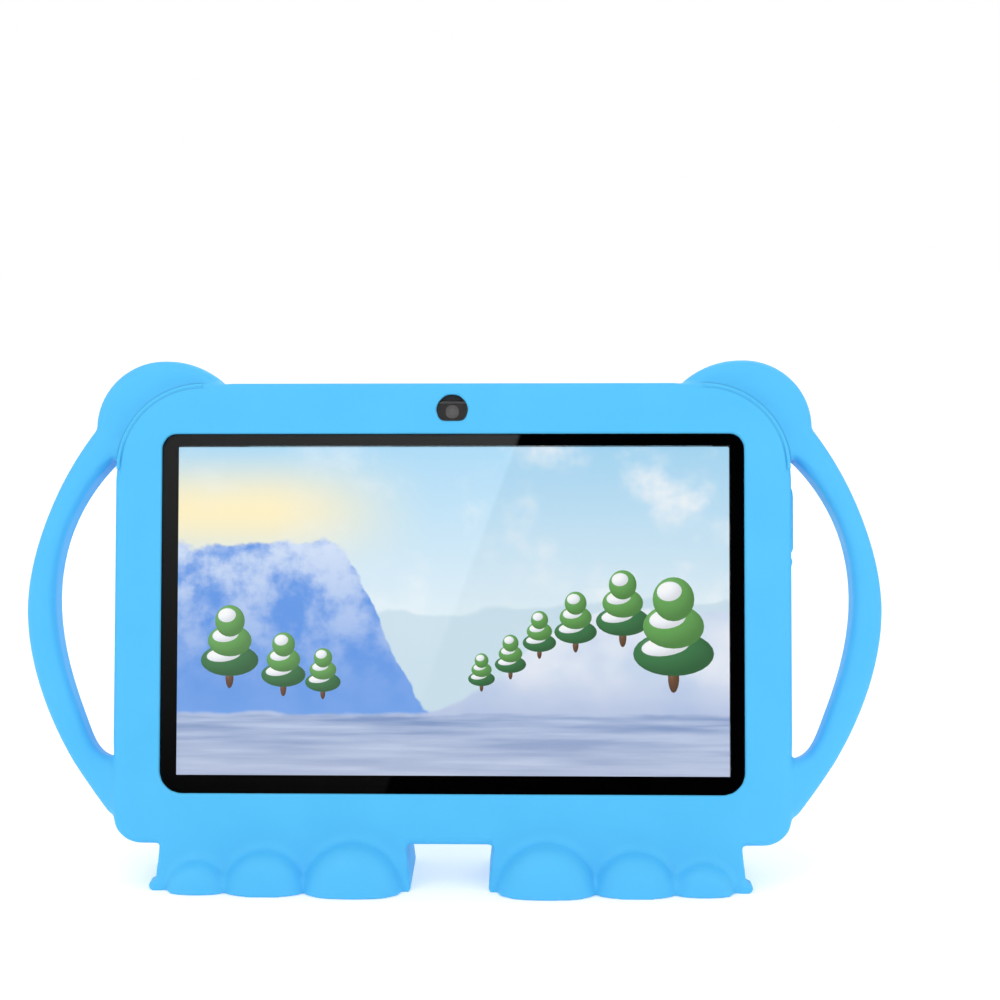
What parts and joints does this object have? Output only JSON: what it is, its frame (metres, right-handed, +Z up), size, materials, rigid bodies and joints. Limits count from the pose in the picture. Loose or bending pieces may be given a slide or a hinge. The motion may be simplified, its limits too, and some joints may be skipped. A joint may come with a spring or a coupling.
{
  "type": "children's tablet computer in a silicone case",
  "caption": "Seven-inch touch tablet in a one-piece silicone bumper case with rounded ears, side grab handles and toed feet that hold it leaning back",
  "frame": {"origin": "middle of the footprint's bounding box, on the floor under the soles", "axes": "+X to the right seen from the front, +Y from the screen towards the back, +Z up; the tablet leans back 12 degrees"},
  "size_m": [0.2378, 0.0538, 0.1432],
  "materials": {
    "silicone": "soft matte sky-blue silicone",
    "cover_glass": "polished glass",
    "foam_tape": "black foam tape",
    "black_plastic": "fine-textured black plastic",
    "screen": "lit screen",
    "tray_metal": "pressed tray",
    "flex_film": "amber flexible circuit",
    "connector_plastic": "ivory connector plastic",
    "camera_body": "black camera housing",
    "lens_glass": "coated lens glass",
    "flash_chip": "phosphor yellow",
    "flash_window": "frosted clear plastic",
    "tin_plate": "tinned steel",
    "board_green": "green solder mask",
    "chip_black": "moulded chip package",
    "screw_steel": "zinc-plated steel",
    "battery_foil": "laminated aluminium pouch",
    "lead_red": "PVC insulation",
    "lead_black": "PVC insulation",
    "socket_black": "black socket plastic",
    "key_plastic": "glossy black key plastic",
    "plunger_plastic": "red switch plunger"
  },
  "bodies": {
    "tablet": {"silicone_case": "silicone", "touch_glass": "cover_glass", "glass_tape": "foam_tape", "lcd_gasket": "foam_tape", "front_frame": "black_plastic", "rear_cover": "black_plastic", "lcd_panel": "screen", "lcd_backlight": "tray_metal", "screen_flex": "flex_film", "screen_connector": "connector_plastic", "front_camera": "camera_body", "rear_camera": "camera_body", "rear_camera_lens": "lens_glass", "camera_flex": "flex_film", "flash_led": "flash_chip", "flash_lens": "flash_window", "speaker": "camera_body", "speaker_gasket": "foam_tape", "microphone": "tin_plate", "main_board": "board_green", "shield_can": "tin_plate", "processor": "chip_black", "memory_chips": "chip_black", "screws": "screw_steel", "battery": "battery_foil", "battery_tape": "foam_tape", "battery_leads": "lead_red", "battery_plug": "connector_plastic", "speaker_leads": "lead_black", "speaker_plug": "connector_plastic", "wifi_antenna": "flex_film", "headphone_jack": "socket_black", "usb_port": "tin_plate", "card_slot": "tin_plate", "switch_housings": "socket_black"},
    "power_key": {"power_key": "key_plastic", "power_plunger": "plunger_plastic"},
    "volume_down_key": {"volume_down_key": "key_plastic", "volume_down_plunger": "plunger_plastic"},
    "volume_up_key": {"volume_up_key": "key_plastic", "volume_up_plunger": "plunger_plastic"}
  },
  "joints": [
    {"name": "power_press", "type": "slide", "parent": "tablet", "child": "power_key", "axis": [-1, 0, 0], "range_m": [0, 0.0003], "stiffness_N_per_m": 2500},
    {"name": "volume_down_press", "type": "slide", "parent": "tablet", "child": "volume_down_key", "axis": [-1, 0, 0], "range_m": [0, 0.0003], "stiffness_N_per_m": 2500},
    {"name": "volume_up_press", "type": "slide", "parent": "tablet", "child": "volume_up_key", "axis": [-1, 0, 0], "range_m": [0, 0.0003], "stiffness_N_per_m": 2500}
  ]
}
